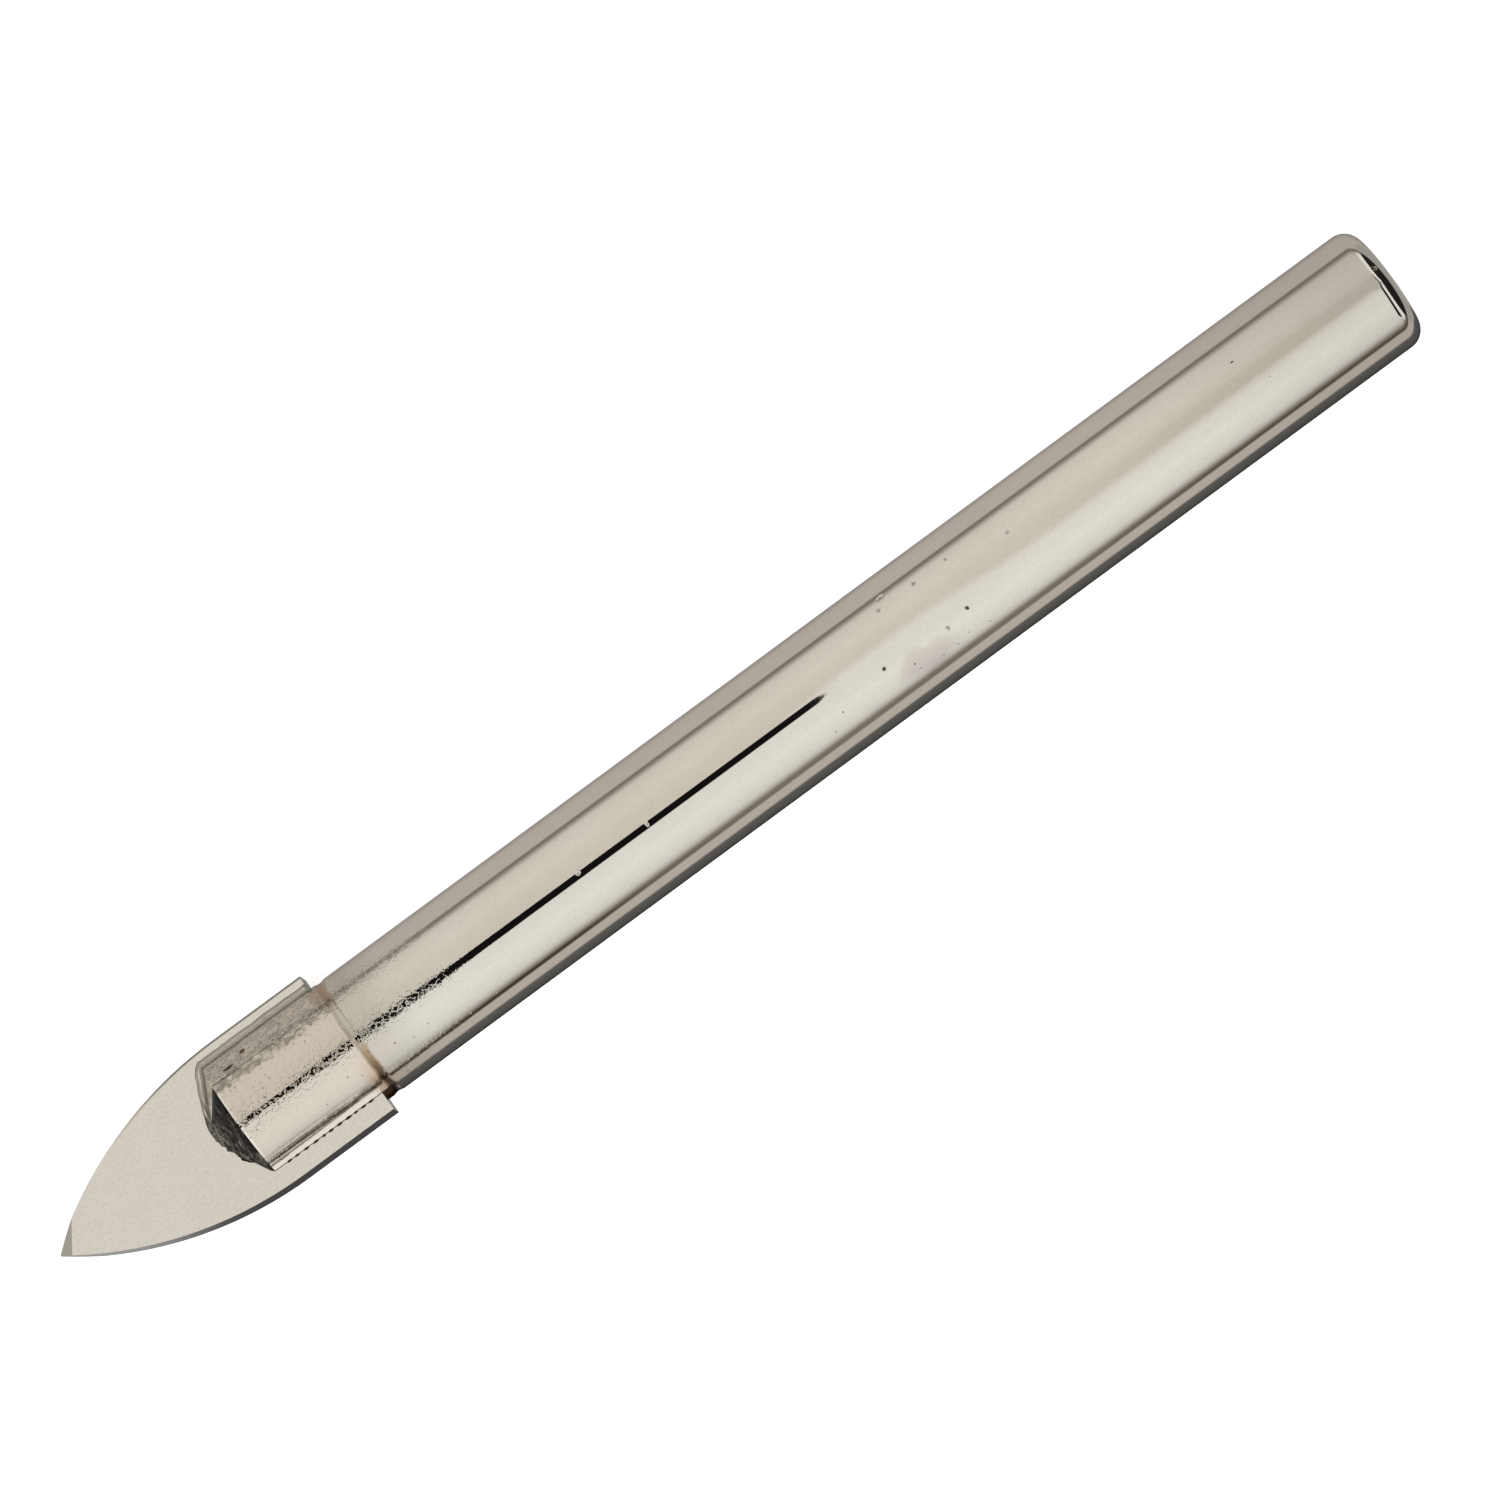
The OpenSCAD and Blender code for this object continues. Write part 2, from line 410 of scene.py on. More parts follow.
def nickel_plate():
    """Warm polished plating: pitted and stained on the jaws, with painted highlights and painted reflections
    there, and a heat tint where the slot ends.
    """
    made, g = new_material("nickel_plate")
    at = Plating(g)
    hollow, dark = plating_marks(g, at)
    base, stain_and_reflection = jaw_stain_and_painted_reflection(g, at, bare_plating(g, at))
    base = g.mix(dark, heat_tint(g, at, base), PIT_BLACK)
    base = g.mix(g.spot(at.ragged, *RUST_DOT), base, RUST_BROWN)
    rough = g.math("MULTIPLY_ADD", at.grain, 0.01, g.math("MULTIPLY_ADD", at.worn, 0.04, 0.008))
    rough = g.math("MULTIPLY_ADD", stain_and_reflection, 0.10, rough)
    finish_metal(g, base, rough, plating_height(g, at, hollow), PLATING_BUMP)
    return made


# Tones of the plate, and the depth of its bump in millimetres
CARBIDE_COOL = colour(0.77, 0.748, 0.69)
CARBIDE_WARM = colour(0.83, 0.806, 0.746)
CARBIDE_GRAIN = colour(0.58, 0.55, 0.49)
CARBIDE_SPECK = colour(0.16, 0.13, 0.10)
CARBIDE_BURNT = colour(0.10, 0.09, 0.075)
CARBIDE_BUMP = 0.003
# Burr on a trailing edge: where it starts and is full, in millimetres inward, down and from the point
BURR_IN = (0.14, 0.07)
BURR_DOWN = (0.08, 0.03)
BURR_ALONG = (4.0, 10.0)
# Burnt end of a wing: where it starts and is full, in millimetres from the back edge
BURNT_IN = (0.06, 0.03)


def plate_burr(g, along, across, high):
    """1 on the dark burr on the trailing edge of each face."""
    run = g.math("MINIMUM", g.math("SUBTRACT", along, LIP_X), 0.0)
    reach = g.math("ADD", g.math("ABSOLUTE", across), LIP_OFF)
    lip = g.math("SQRT", g.math("ADD", g.times(run, run), g.times(reach, reach)))
    edge = LIP_R - LIP_BACK
    trailing = g.math("GREATER_THAN", g.times(across, high), 0.0)
    burr = g.times(trailing, g.step(lip, edge - BURR_IN[0], edge - BURR_IN[1]))
    top = g.step(g.math("ABSOLUTE", high), HALF_T - BURR_DOWN[0], HALF_T - BURR_DOWN[1])
    return g.times(burr, top, g.step(along, *BURR_ALONG))


def ground_carbide():
    """Finely ground face of the plate, with small dark specks, dark burrs and one burnt wing."""
    made, g = new_material("ground_carbide")
    where = g.millimetres()
    along, across, high = g.split(where)
    grain = g.noise(where, 6.5, 5.0, 0.75)
    base = g.mix(g.noise(where, 0.5), CARBIDE_COOL, CARBIDE_WARM)
    base = g.mix(g.times(g.step(grain, 0.44, 0.62), 0.27), base, CARBIDE_GRAIN)
    base = g.mix(g.times(g.pits(where, 1.7, 0.07, 0.16), 0.6), base, CARBIDE_SPECK)
    wing = g.math("GREATER_THAN", across, 0.0)
    burnt = g.times(wing, g.step(along, PLATE_LEN - BURNT_IN[0], PLATE_LEN - BURNT_IN[1]))
    dark = g.math("MAXIMUM", plate_burr(g, along, across, high), burnt)
    base = g.mix(g.times(dark, 0.8), base, CARBIDE_BURNT)
    rough = g.math("MULTIPLY_ADD", grain, 0.15, 0.12)
    finish_metal(g, base, rough, grain, CARBIDE_BUMP)
    return made


def clouded_metal(name, scale, tones, rough, bump_scale, bump):
    """A plain metal with two tones in clouds; rough is its least roughness and what the clouds add."""
    made, g = new_material(name)
    where = g.millimetres()
    cloud = g.noise(where, scale, 4.0)
    roughness = g.math("MULTIPLY_ADD", cloud, rough[1], rough[0])
    finish_metal(g, g.mix(cloud, *tones), roughness, g.noise(where, bump_scale), bump)
    return made


def braze_metal():
    """Dark brass in the joint, burnt by the torch."""
    tones = (colour(0.015, 0.009, 0.006), colour(0.10, 0.06, 0.035))
    return clouded_metal("braze_metal", 1.4, tones, (0.3, 0.25), 5.0, 0.02)


def dark_flux():
    """Glassy dark residue of the brazing."""
    tones = (colour(0.012, 0.010, 0.008), colour(0.07, 0.055, 0.04))
    return clouded_metal("dark_flux", 3.0, tones, (0.25, 0.3), 9.0, 0.02)


def fillet_side(g, across, high):
    """Distance across the bit, positive on the side of the fillet on either face."""
    return g.times(across, g.math("SIGN", high))


# Tones of the braze on the plate, and the depth of its bump in millimetres
BRAZE_DULL = colour(0.52, 0.49, 0.42)
BRAZE_BRIGHT = colour(0.82, 0.78, 0.70)
# Painted shade at the fillet's foot
BRAZE_PAINTED_FOOT_SHADE = colour(0.14, 0.12, 0.10)
BRAZE_CHAR = colour(0.05, 0.045, 0.038)
BRAZE_BUMP = 0.012


def plated_braze():
    """Braze run out over the plate, under the same plating, with painted shade along its foot and charred
    lines.
    """
    made, g = new_material("plated_braze")
    where = g.millimetres()
    along, across, high = g.split(where)
    cloud = g.noise(where, 1.8, 4.0)
    base = g.mix(cloud, BRAZE_DULL, BRAZE_BRIGHT)
    # Painted shade along the foot of the fillet, where it meets the plate
    level = g.wander(g.math("ABSOLUTE", high), where, 3.0, 0.04)
    foot = g.step(level, HALF_T + 0.045, HALF_T + 0.01)
    base = g.mix(g.times(foot, 0.55), base, BRAZE_PAINTED_FOOT_SHADE)
    lines = g.noise(g.vector("MULTIPLY", where, (4.0, 0.5, 6.0)), 1.2, 3.0)
    nose = g.times(g.step(fillet_side(g, across, high), 2.6, 0.6), g.step(along, JAW_X + 0.2, JAW_X - 0.2))
    char = g.times(nose, g.step(lines, 0.60, 0.44))
    base = g.mix(g.times(char, 0.9), base, BRAZE_CHAR)
    rough = g.math("MULTIPLY_ADD", cloud, 0.12, 0.10)
    finish_metal(g, base, rough, g.noise(where, 6.0), BRAZE_BUMP)
    return made


# Tones of the ground nose, and the depth of its bump in millimetres
STEEL_BLACK = colour(0.006, 0.005, 0.004)
STEEL_FOOT = colour(0.010, 0.008, 0.006)
STEEL_GREY = colour(0.19, 0.175, 0.15)
STEEL_PALE = colour(0.42, 0.40, 0.36)
STEEL_LIGHT = colour(0.55, 0.52, 0.46)
STEEL_BUMP = 0.10


def ground_steel():
    """Coarse dark face of the jaws' nose, streaked by the wheel."""
    made, g = new_material("ground_steel")
    where = g.millimetres()
    along, across, high = g.split(where)
    radius = g.vector("LENGTH", g.vector("MULTIPLY", where, (0, 1, 1)))
    drawn = g.add("ShaderNodeCombineXYZ", [g.times(radius, 3.5), g.times(across, 0.8), along]).outputs[0]
    streak = g.noise(drawn, 1.5, 5.0, 0.7)
    clump = g.noise(where, 1.3, 4.0, 0.7)
    base = g.mix(g.step(streak, 0.40, 0.64), STEEL_BLACK, STEEL_GREY)
    base = g.mix(g.times(g.step(clump, 0.55, 0.46), 0.9), base, STEEL_BLACK)
    light = g.times(g.step(streak, 0.50, 0.60), g.step(clump, 0.50, 0.60))
    base = g.mix(g.times(light, 0.8), base, STEEL_LIGHT)
    pale = g.times(g.step(radius, 2.1, 1.4), g.step(streak, 0.42, 0.56), 0.7)
    base = g.mix(pale, base, STEEL_PALE)
    outer = g.step(g.wander(radius, where, 1.5, 1.2), 1.9, 2.7)
    shadow = g.times(outer, g.step(fillet_side(g, across, high), -2.2, 0.2))
    base = g.mix(g.times(shadow, 0.85), base, STEEL_BLACK)
    foot = g.step(g.wander(g.math("ABSOLUTE", high), where, 3.0, 0.3), HALF_T + 0.16, HALF_T + 0.04)
    base = g.mix(g.times(foot, 0.9), base, STEEL_FOOT)
    rough = g.math("MULTIPLY_ADD", streak, 0.3, 0.22)
    finish_metal(g, base, rough, g.math("ADD", streak, clump), STEEL_BUMP, glance=0.8)
    return made


def link(made):
    bpy.context.scene.collection.objects.link(made)
    return made


def bake_modifiers(piece):
    """Replaces a piece's mesh by what its modifiers make of it."""
    graph = bpy.context.evaluated_depsgraph_get()
    shaped = bpy.data.meshes.new_from_object(
        piece.evaluated_get(graph), preserve_all_data_layers=True, depsgraph=graph
    )
    piece.modifiers.clear()
    piece.data = shaped


def mesh_object(name, drawn):
    mesh = bpy.data.meshes.new(name)
    drawn.to_mesh(mesh)
    drawn.free()
    return link(bpy.data.objects.new(name, mesh))


def shaped_piece(name, drawn, material, cuts=(), edge=0.0):
    """A piece of the bit from a closed bmesh in millimetres, less the cuts, with rounded edges."""
    bmesh.ops.recalc_face_normals(drawn, faces=drawn.faces)
    piece = mesh_object(name, drawn)
    tools = [mesh_object(name + "_cut", cut) for cut in cuts]
    for tool in tools:
        boolean = piece.modifiers.new("cut", "BOOLEAN")
        boolean.operation = "DIFFERENCE"
        boolean.solver = "EXACT"
        boolean.object = tool
    bake_modifiers(piece)
    for tool in tools:
        bpy.data.objects.remove(tool)
    if edge:
        bevel = piece.modifiers.new("edge", "BEVEL")
        bevel.width = edge
        bevel.segments = 2
        bevel.limit_method = "ANGLE"
        bevel.angle_limit = SHARP_ANGLE
        bake_modifiers(piece)
    piece.data.shade_smooth()
    weigh = piece.modifiers.new("weigh", "WEIGHTED_NORMAL")
    weigh.keep_sharp = True
    bake_modifiers(piece)
    piece.data.transform(PLACE @ Matrix.Scale(MM, 4))
    piece.data.materials.clear()
    piece.data.materials.append(material)
    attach(piece, "root")
    return piece


def arc(centre, radius, start, end, steps):
    """Points on an arc, as distance along and radius. Angles are in degrees from the axis direction."""
    turn = [math.radians(start + (end - start) * i / steps) for i in range(steps + 1)]
    return [(centre[0] + radius * math.cos(a), centre[1] + radius * math.sin(a)) for a in turn]


def loft(rings):
    """Closed skin through rings with the same number of points, with a face over each end."""
    made = bmesh.new()
    rows = [[made.verts.new(point) for point in ring] for ring in rings]
    for near, far in zip(rows, rows[1:]):
        for i in range(len(near)):
            j = (i + 1) % len(near)
            made.faces.new((near[i], near[j], far[j], far[i]))
    for row in (rows[0], rows[-1]):
        made.faces.new(row)
    return made


def box(low, high, turn=Matrix.Identity(4)):
    made = bmesh.new()
    size = Vector(high) - Vector(low)
    middle = (Vector(high) + Vector(low)) / 2
    shape = turn @ Matrix.Translation(middle) @ Matrix.Diagonal((*size, 1))
    bmesh.ops.create_cube(made, size=1.0, matrix=shape)
    return made


def turned(drawn):
    """The same shape on the other side of the bit."""
    bmesh.ops.transform(drawn, matrix=TURN, verts=drawn.verts)
    return drawn


def make_shank(material):
    """Turns the shank with its nose, ring and rounded back edge, and saws the slot."""
    ring_turn = math.degrees(math.asin(RING_W / 2 / RING_R))
    profile = [(NOSE_X + EDGE_ROUND / NOSE_TAN, EDGE_ROUND), (JAW_X, SHANK_R)]
    ring_mid = (SLOT_END, SHANK_R - RING_DEPTH + RING_R)
    profile += arc(ring_mid, RING_R, 270 - ring_turn, 270 + ring_turn, RING_STEPS)
    back_mid = (OVERALL_LEN - BACK_R, SHANK_R - BACK_R)
    profile += arc(back_mid, BACK_R, 90, 0, BACK_STEPS)
    turns = [2 * math.pi * (i + 0.5) / LATHE_STEPS for i in range(LATHE_STEPS)]
    rings = [[(x, r * math.cos(t), r * math.sin(t)) for t in turns] for x, r in profile]
    reach = 2 * SHANK_R
    slot = box((NOSE_X - reach, -reach, -SLOT_HALF), (SLOT_END, reach, SLOT_HALF))
    piece = shaped_piece("shank_plated", loft(rings), material, [slot], EDGE_ROUND)
    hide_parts("shank")


def lip_y(radius, along):
    """Half width of a lip of this radius."""
    return math.sqrt(radius ** 2 - (LIP_X - along) ** 2) - LIP_OFF


def make_plate(material):
    """Lofts the ground plate between its two faces and grinds off the two point facets."""
    made = bmesh.new()
    stations = [LIP_X * (i / LIP_STEPS) ** LIP_CROWDING for i in range(LIP_STEPS + 1)]
    stations.append(PLATE_LEN)
    wide = [lip_y(LIP_R, min(x, LIP_X)) for x in stations]
    slim = [lip_y(LIP_R - LIP_BACK, min(x, LIP_X)) for x in stations]
    faces = []
    for side in (1, -1):
        first = [made.verts.new((x, -side * y, side * HALF_T)) for x, y in zip(stations, wide)]
        last = [made.verts.new((x, side * y, side * HALF_T)) for x, y in zip(stations[1:], slim[1:])]
        faces.append((first, last))
    for first, last in faces:
        made.faces.new(first + last[::-1])
    (wide_top, slim_top), (wide_low, slim_low) = faces
    for edge, other in ((wide_top, [wide_low[0]] + slim_low), ([wide_top[0]] + slim_top, wide_low)):
        for i in range(len(edge) - 1):
            made.faces.new((edge[i], edge[i + 1], other[i + 1], other[i]))
    made.faces.new((wide_top[-1], slim_top[-1], wide_low[-1], slim_low[-1]))
    fold_a = Vector((FACET_FAR, lip_y(LIP_R - LIP_BACK, FACET_FAR), HALF_T))
    fold_b = Vector((FACET_NEAR, -lip_y(LIP_R, FACET_NEAR), HALF_T))
    fold = math.atan2(fold_b.y - fold_a.y, fold_b.x - fold_a.x)
    lean = Matrix.Rotation(fold, 4, "Z") @ Matrix.Rotation(math.radians(FACET_SLOPE), 4, "X")
    side = 4 * FACET_FAR
    cuts = []
    for turn in (Matrix.Identity(4), TURN):
        cuts.append(box((-side, -side, 0), (side, side, side), turn @ Matrix.Translation(fold_a) @ lean))
    piece = shaped_piece("cutting_plate", made, material, cuts, LIP_ROUND)
    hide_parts("carbide_tip")


def nose_at(across, height):
    """Distance from the point at which the nose cone has this place in its section."""
    return NOSE_X + math.hypot(across, height) / NOSE_TAN


def jaw_y(height):
    """Half width of the jaws at this height above the axis."""
    return math.sqrt(SHANK_R ** 2 - height ** 2)


# Fillet of braze: its size, where it starts and ends and how far it sinks in, in millimetres
FILLET_W = 0.42
FILLET_H = 0.5
FILLET_START = 0.05
FILLET_END_Y = -0.6
FILLET_SINK = 0.06
# Part of the run along the nose in which the fillet turns the corner, and fineness of its mesh
FILLET_TURN = 0.12
FILLET_STEPS = 8
FILLET_SECTIONS = 60


def fillet_section(foot, wall, out, width):
    """Section of a hollow fillet from a point on the wall to the plate, closed below the surfaces."""
    corner = Vector((*foot, HALF_T))
    end = corner + out * width
    points = []
    for i in range(FILLET_STEPS + 1):
        t = i / FILLET_STEPS
        points.append(wall * (1 - t) ** 2 + corner * 2 * t * (1 - t) + end * t ** 2)
    down = Vector((0, 0, -FILLET_SINK))
    return points + [end + down, corner - out * FILLET_SINK + down, wall - out * FILLET_SINK]


def side_section(along):
    """Section of the fillet beside a jaw."""
    size = 0.95 + 0.10 * noise.noise((along * 1.1, 0, 0)) + 0.05 * noise.noise((along * 4, 7, 0))
    top = HALF_T + FILLET_H * size
    wall = Vector((along, jaw_y(top), top))
    return fillet_section((along, JAW_EDGE_Y), wall, Vector((0, 1, 0)), FILLET_W * size)


def nose_section(t):
    """Section of the fillet at the foot of a jaw's nose, thinner towards its end at t = 1."""
    corner_y = jaw_y(HALF_T)
    across = corner_y + (FILLET_END_Y - corner_y) * t
    size = (1 - t) ** 0.7 * (1 + 0.2 * noise.noise((across * 1.6, 3, 0))) + 0.05
    top = HALF_T + FILLET_H * size
    foot = (nose_at(across, HALF_T), across)
    slope = across / (math.hypot(across, HALF_T) * NOSE_TAN)
    out = Vector((-1, slope, 0)).normalized()
    turn = min(1, t / FILLET_TURN)
    out = (Vector((0, 1, 0)) * (1 - turn) + out * turn).normalized()
    high_y = min(across, jaw_y(top))
    wall = Vector((nose_at(high_y, top), high_y, top))
    return fillet_section(foot, wall, out, FILLET_W * size)


def draw_fillet():
    """Braze that ran along one side of a jaw, round its corner and along the foot of its nose."""
    run = JAW_LEN - FILLET_START
    first = PLATE_LEN - FILLET_START
    sections = [side_section(first - run * i / FILLET_SECTIONS) for i in range(FILLET_SECTIONS + 1)]
    steps = 2 * FILLET_SECTIONS
    sections += [nose_section(i / steps) for i in range(1, steps + 1)]
    return loft(sections)


# Row of flux dashes: distance from the ends of the jaw and out of the seam, in millimetres
DASH_FRONT = 0.7
DASH_BACK = 0.4
DASH_OUT = 0.01
# Least and most length, gap and half width of a dash, and its half height, in millimetres
DASH_LEN = (0.14, 0.50)
DASH_GAP = (0.03, 0.32)
DASH_WIDE = (0.045, 0.09)
DASH_HIGH = 0.07


def draw_dashes():
    """Dark specks of flux in the seam on the other side of a jaw, like a dashed line."""
    made = bmesh.new()
    across = Vector((0, -JAW_EDGE_Y - DASH_OUT, HALF_T + DASH_OUT))
    along = JAW_X + DASH_FRONT
    count = 0
    while along < PLATE_LEN - DASH_BACK:
        pick = [0.5 + 0.5 * noise.noise((count * 1.7, k * 3.1, 0.5)) for k in range(3)]
        sizes = zip((DASH_LEN, DASH_GAP, DASH_WIDE), pick)
        length, gap, wide = [least + (most - least) * part for (least, most), part in sizes]
        shape = Matrix.Translation(across + Vector((along + length / 2, 0, 0)))
        shape = shape @ Matrix.Diagonal((length / 2, wide, DASH_HIGH, 1))
        bmesh.ops.create_icosphere(made, subdivisions=3, radius=1.0, matrix=shape)
        along += length + gap
        count += 1
    return made


# Ground skin on the nose: angles about the axis at which it starts and ends, and its columns and rows
GRIND_START = math.radians(58)
GRIND_END = math.radians(163)
GRIND_AROUND = 110
GRIND_UPWARD = 26
# How far the skin stands out, sinks in at its ends and stays inside the jaw's edge, in millimetres
GRIND_LIFT = 0.065
GRIND_SINK = 0.03
GRIND_INSET = 0.01
# Size and scale of each layer of roughness, the way to the back, and the columns in which the ends sink in
GRIND_ROUGH = ((0.03, 1.3), (0.025, 4), (0.012, 10))
GRIND_BACK = Vector((0.12, 0, -0.02))
GRIND_FADE = (12, 3)


def grind_point(column, rise):
    """Point of the skin in one column, with rise from 0 on the plate to 1 at the edge of the jaw."""
    turn = GRIND_START + (GRIND_END - GRIND_START) * column / GRIND_AROUND
    foot = HALF_T / math.sin(turn)
    chip = 0.06 + 0.17 * noise.noise((turn * 7, 1, 0)) + 0.10 * noise.noise((turn * 22, 4, 0))
    radius = foot + (SHANK_R - GRIND_INSET - foot) * rise
    radial = Vector((0, math.cos(turn), math.sin(turn)))
    place = Vector((NOSE_X + radius / NOSE_TAN, 0, 0)) + radial * radius
    rough = sum(size * noise.noise(place * scale) for size, scale in GRIND_ROUGH)
    fade = min(1, column / GRIND_FADE[0], (GRIND_AROUND - column) / GRIND_FADE[1] + 0.4)
    lift = (GRIND_LIFT + rough) * fade - GRIND_SINK * (1 - fade)
    lift += max(chip, 0) * (1 - rise) ** 6 * fade
    lift *= 1 - 0.7 * rise ** 8
    normal = Vector((-NOSE_TAN, 0, 0)) + radial
    return place + normal.normalized() * lift


def draw_nose_grind():
    """Rough ground skin over the nose of one jaw, with a chipped foot on the plate."""
    around, upward = GRIND_AROUND, GRIND_UPWARD
    rows = [[grind_point(i, j / upward) for i in range(around + 1)] for j in range(upward + 1)]
    made = bmesh.new()
    front = [[made.verts.new(p) for p in row] for row in rows]
    back = [[made.verts.new(p + GRIND_BACK) for p in row] for row in rows]
    for j in range(upward):
        for i in range(around):
            made.faces.new((front[j][i], front[j][i + 1], front[j + 1][i + 1], front[j + 1][i]))
            made.faces.new((back[j][i], back[j + 1][i], back[j + 1][i + 1], back[j][i + 1]))
    ring = [(0, i) for i in range(around)] + [(j, around) for j in range(upward)]
    ring += [(upward, i) for i in range(around, 0, -1)] + [(j, 0) for j in range(upward, 0, -1)]
    for (j, i), (row, column) in zip(ring, ring[1:] + ring[:1]):
        made.faces.new((front[j][i], back[j][i], back[row][column], front[row][column]))
    return made


def make_joint_detail():
    """Fillets, flux dashes and ground noses, alike on the two faces of the plate."""
    plated, steel, flux = plated_braze(), ground_steel(), dark_flux()
    for face, side in (("upper", lambda drawn: drawn), ("lower", turned)):
        shaped_piece(face + "_fillet", side(draw_fillet()), plated)
        shaped_piece(face + "_dashes", side(draw_dashes()), flux)
        shaped_piece(face + "_nose_grind", side(draw_nose_grind()), steel)


# The two halves of the light tent: height above the picture plane in degrees, and tone
TABLE = colour(0.59, 0.551, 0.533)
LEFT_WALL = [
    (-90, colour(0.30, 0.28, 0.27)),
    (-47, colour(0.55, 0.51, 0.49)),
    (-25, TABLE),
    (-6, TABLE),
    (-2, colour(0.24, 0.22, 0.20)),
    (2, colour(0.26, 0.24, 0.22)),
    (7, colour(0.48, 0.46, 0.44)),
    (13, colour(0.76, 0.73, 0.70)),
    (20, colour(0.81, 0.78, 0.75)),
    (45, colour(0.86, 0.83, 0.80)),
    (90, colour(0.79, 0.76, 0.715)),
]
RIGHT_WALL = [
    (-90, grey(0.035)),
    (-55, grey(0.095)),
    (-31, grey(0.14)),
    (-25, TABLE),
    (-7, TABLE),
    (-3, colour(0.13, 0.11, 0.095)),
    (1, colour(0.13, 0.11, 0.095)),
    (7, colour(0.36, 0.335, 0.31)),
    (13, grey(0.66)),
    (20, grey(0.85)),
    (32, grey(0.94)),
    (54, grey(1.02)),
    (90, grey(0.95)),
]
# Other tones of the tent and its table
BLACK = grey(0.0)
LENS_BLACK = grey(0.008)
TABLE_LIT = grey(0.55)
TABLE_BACK = colour(0.55, 0.525, 0.51)
TABLE_FRONT = colour(0.43, 0.415, 0.385)
TABLE_BEYOND = grey(0.42)
RIM_WEAK = grey(0.42)
RIM_THIN = grey(0.86)
RING_LIT = grey(0.98)
# Right half of the tent, by a ray's part to the left: where it starts and is full
RIGHT_HALF = (0.1, -0.2)
# Slit for the lens, in parts of a ray: half width, change of it behind the joint, at the nose and along
SLIT_WIDE = 0.094
SLIT_JOINT = 0.045
SLIT_NOSE = -0.06
SLIT_TAPER = -0.2
# Where the slit ends, and the length of its pointed tip
SLIT_STOP = 0.0117
SLIT_TIP = 0.0012
# How far a ring about the axis spreads with the distance to its side, and how its lower end rises there
RING_SPREAD = 0.13
LOW_SLOPE = 0.1
# Heights, in degrees, between which the light of the tent gives way to the table beyond the back end
LOW_LIGHT = (2, -11)


def wall_ramp(g, height, wall):
    """Tones of a half of the tent, by a height that runs from 0 to 1."""
    return g.ramp(height, [((math.sin(math.radians(angle)) + 1) / 2, tone) for angle, tone in wall])


def tent_walls(g, along, left, up):
    """The two halves of the tent, parted above the bit."""
    height = g.math("MULTIPLY_ADD", up, 0.5, 0.5)
    # Under the point the table on the right is lit again
    near = g.times(g.step(along, -0.16, -0.23), g.step(up, -0.6, -0.8))
    right_side = g.mix(near, wall_ramp(g, height, RIGHT_WALL), TABLE_LIT)
    shift = g.times(g.step(along, 0.04, 0.07), -0.05)
    shift = g.math("MULTIPLY_ADD", g.band(along, 0.022, 0.004, 0.02), 0.25, shift)
    parted = g.step(g.math("SUBTRACT", left, shift), -0.20, 0.13)
    return g.mix(parted, right_side, wall_ramp(g, height, LEFT_WALL))


def shade_rim(g, tent, along, left, up):
    """The dark rim on the right is deepest behind the joint, and weaker at mid length and on the jaws."""
    right = g.step(left, *RIGHT_HALF)
    rim = g.times(g.band(up, -0.017, 0.045, 0.05), right)
    tent = g.mix(g.times(rim, g.band(along, 0.02, 0.018, 0.045), 0.33), tent, RIM_WEAK)
    tent = g.mix(g.times(rim, g.band(along, -0.046, 0.012, 0.014), 0.45), tent, BLACK)
    thinner = g.times(g.band(up, 0.11, 0.05, 0.06), right, g.step(along, -0.056, -0.066))
    return g.mix(g.times(thinner, 0.8), tent, RIM_THIN)


def fade_ends(g, tent, along, left, up):
    """The tent grows darker towards the back end, most in its left half, and the table changes too."""
    fading = g.step(along, 0.058, 0.105)
    upper = g.times(g.step(left, -0.05, 0.1), g.step(up, 0.0, 0.3))
    strip = g.times(g.step(along, 0.045, 0.07), g.band(left, 0.2, 0.12, 0.14), 0.07)
    dim = g.math("ADD", g.times(fading, g.math("MULTIPLY_ADD", upper, 0.10, 0.10)), strip)
    tent = g.mix(dim, tent, BLACK)
    # Lit table under the back end
    past = g.math("SUBTRACT", along, 0.1)
    beside = g.step(g.math("MULTIPLY_ADD", past, 0.33, left), -0.01, 0.01)
    behind = g.times(g.step(past, 0.0, 0.012), g.step(up, -0.25, -0.5), beside)
    behind = g.times(behind, g.step(left, 0.15, -0.05))
    tent = g.mix(behind, tent, TABLE_BACK)
    # Shaded table in front of the point
    shade = g.times(g.step(along, -0.5, -0.75), g.step(up, 0.05, -0.1))
    return g.mix(shade, tent, TABLE_FRONT)


def light_back_end(g, tent, along, left, up):
    """Beyond the back end: a lit slit as a ring about the axis, and the table below it."""
    ring = g.math("MULTIPLY_ADD", g.math("ABSOLUTE", left), RING_SPREAD, along)
    lit = g.times(g.band(ring, 0.645, 0.055, 0.07), g.step(up, 0.05, 0.22))
    tent = g.mix(lit, tent, RING_LIT)
    lowered = g.math("MULTIPLY_ADD", g.math("MAXIMUM", left, 0.0), -LOW_SLOPE, up)
    below = g.step(lowered, *[math.sin(math.radians(angle)) for angle in LOW_LIGHT])
    return g.mix(g.times(below, g.step(ring, 0.70, 0.76)), tent, TABLE_BEYOND)


